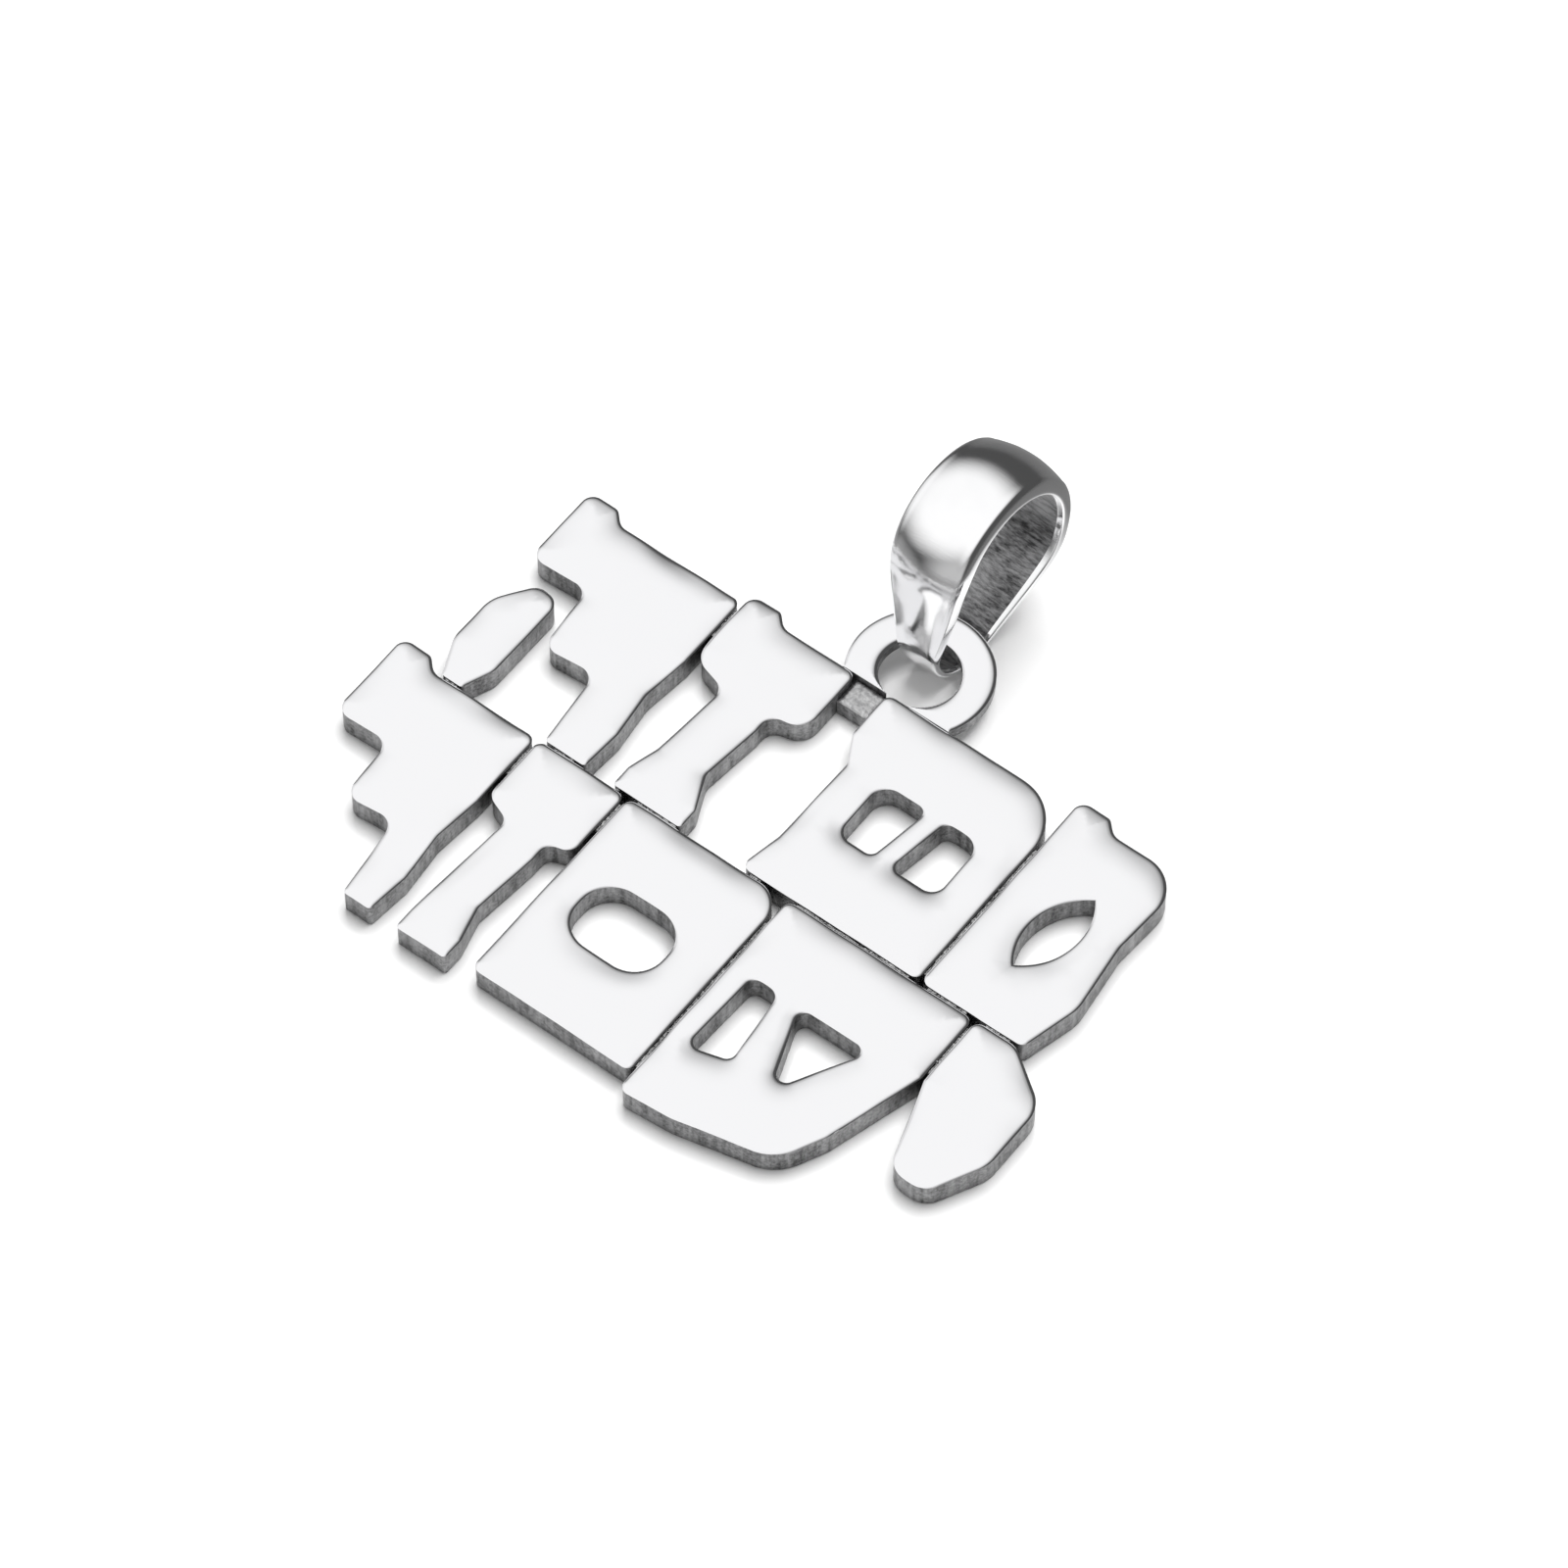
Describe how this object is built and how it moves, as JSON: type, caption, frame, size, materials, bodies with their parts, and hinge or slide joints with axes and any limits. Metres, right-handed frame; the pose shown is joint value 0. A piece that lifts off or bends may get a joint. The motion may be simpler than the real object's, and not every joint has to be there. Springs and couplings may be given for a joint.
{
  "type": "pendant",
  "caption": "Flat openwork metal pendant of two rows of polished blocks soldered edge to edge, with a flat ring and a tapered bail that swings on it.",
  "frame": {"origin": "middle of the bottom face of the box around the whole pendant, lying on its back with the bail leaning up", "axes": "+X along the rows of blocks, +Y towards the ring and bail, +Z out of the polished front faces"},
  "size_m": [0.0256, 0.0236, 0.0073],
  "materials": {
    "polished_silver": "mirror polished fronts, matte sawn edges",
    "matte_silver": "matte",
    "solder": "matte, slightly rough",
    "bail_silver": "polished outside, brushed inside"
  },
  "bodies": {
    "plate": {"upper_step_block": "polished_silver", "leaf_block": "polished_silver", "upper_baluster_block": "polished_silver", "tie_bar": "matte_silver", "window_block": "polished_silver", "lens_block": "polished_silver", "lower_step_block": "polished_silver", "lower_baluster_block": "polished_silver", "slot_block": "polished_silver", "fan_block": "polished_silver", "shield_block": "polished_silver", "row_solder": "solder", "column_solder": "solder", "hanging_ring": "polished_silver", "ring_solder": "solder"},
    "bail": {"bail": "bail_silver"}
  },
  "joints": [
    {"name": "bail_swing", "type": "hinge", "parent": "plate", "child": "bail", "pos_m": [0.00052, 0.00696, 0.00099], "axis": [1, 0, 0], "range_deg": [-160, 0]}
  ]
}
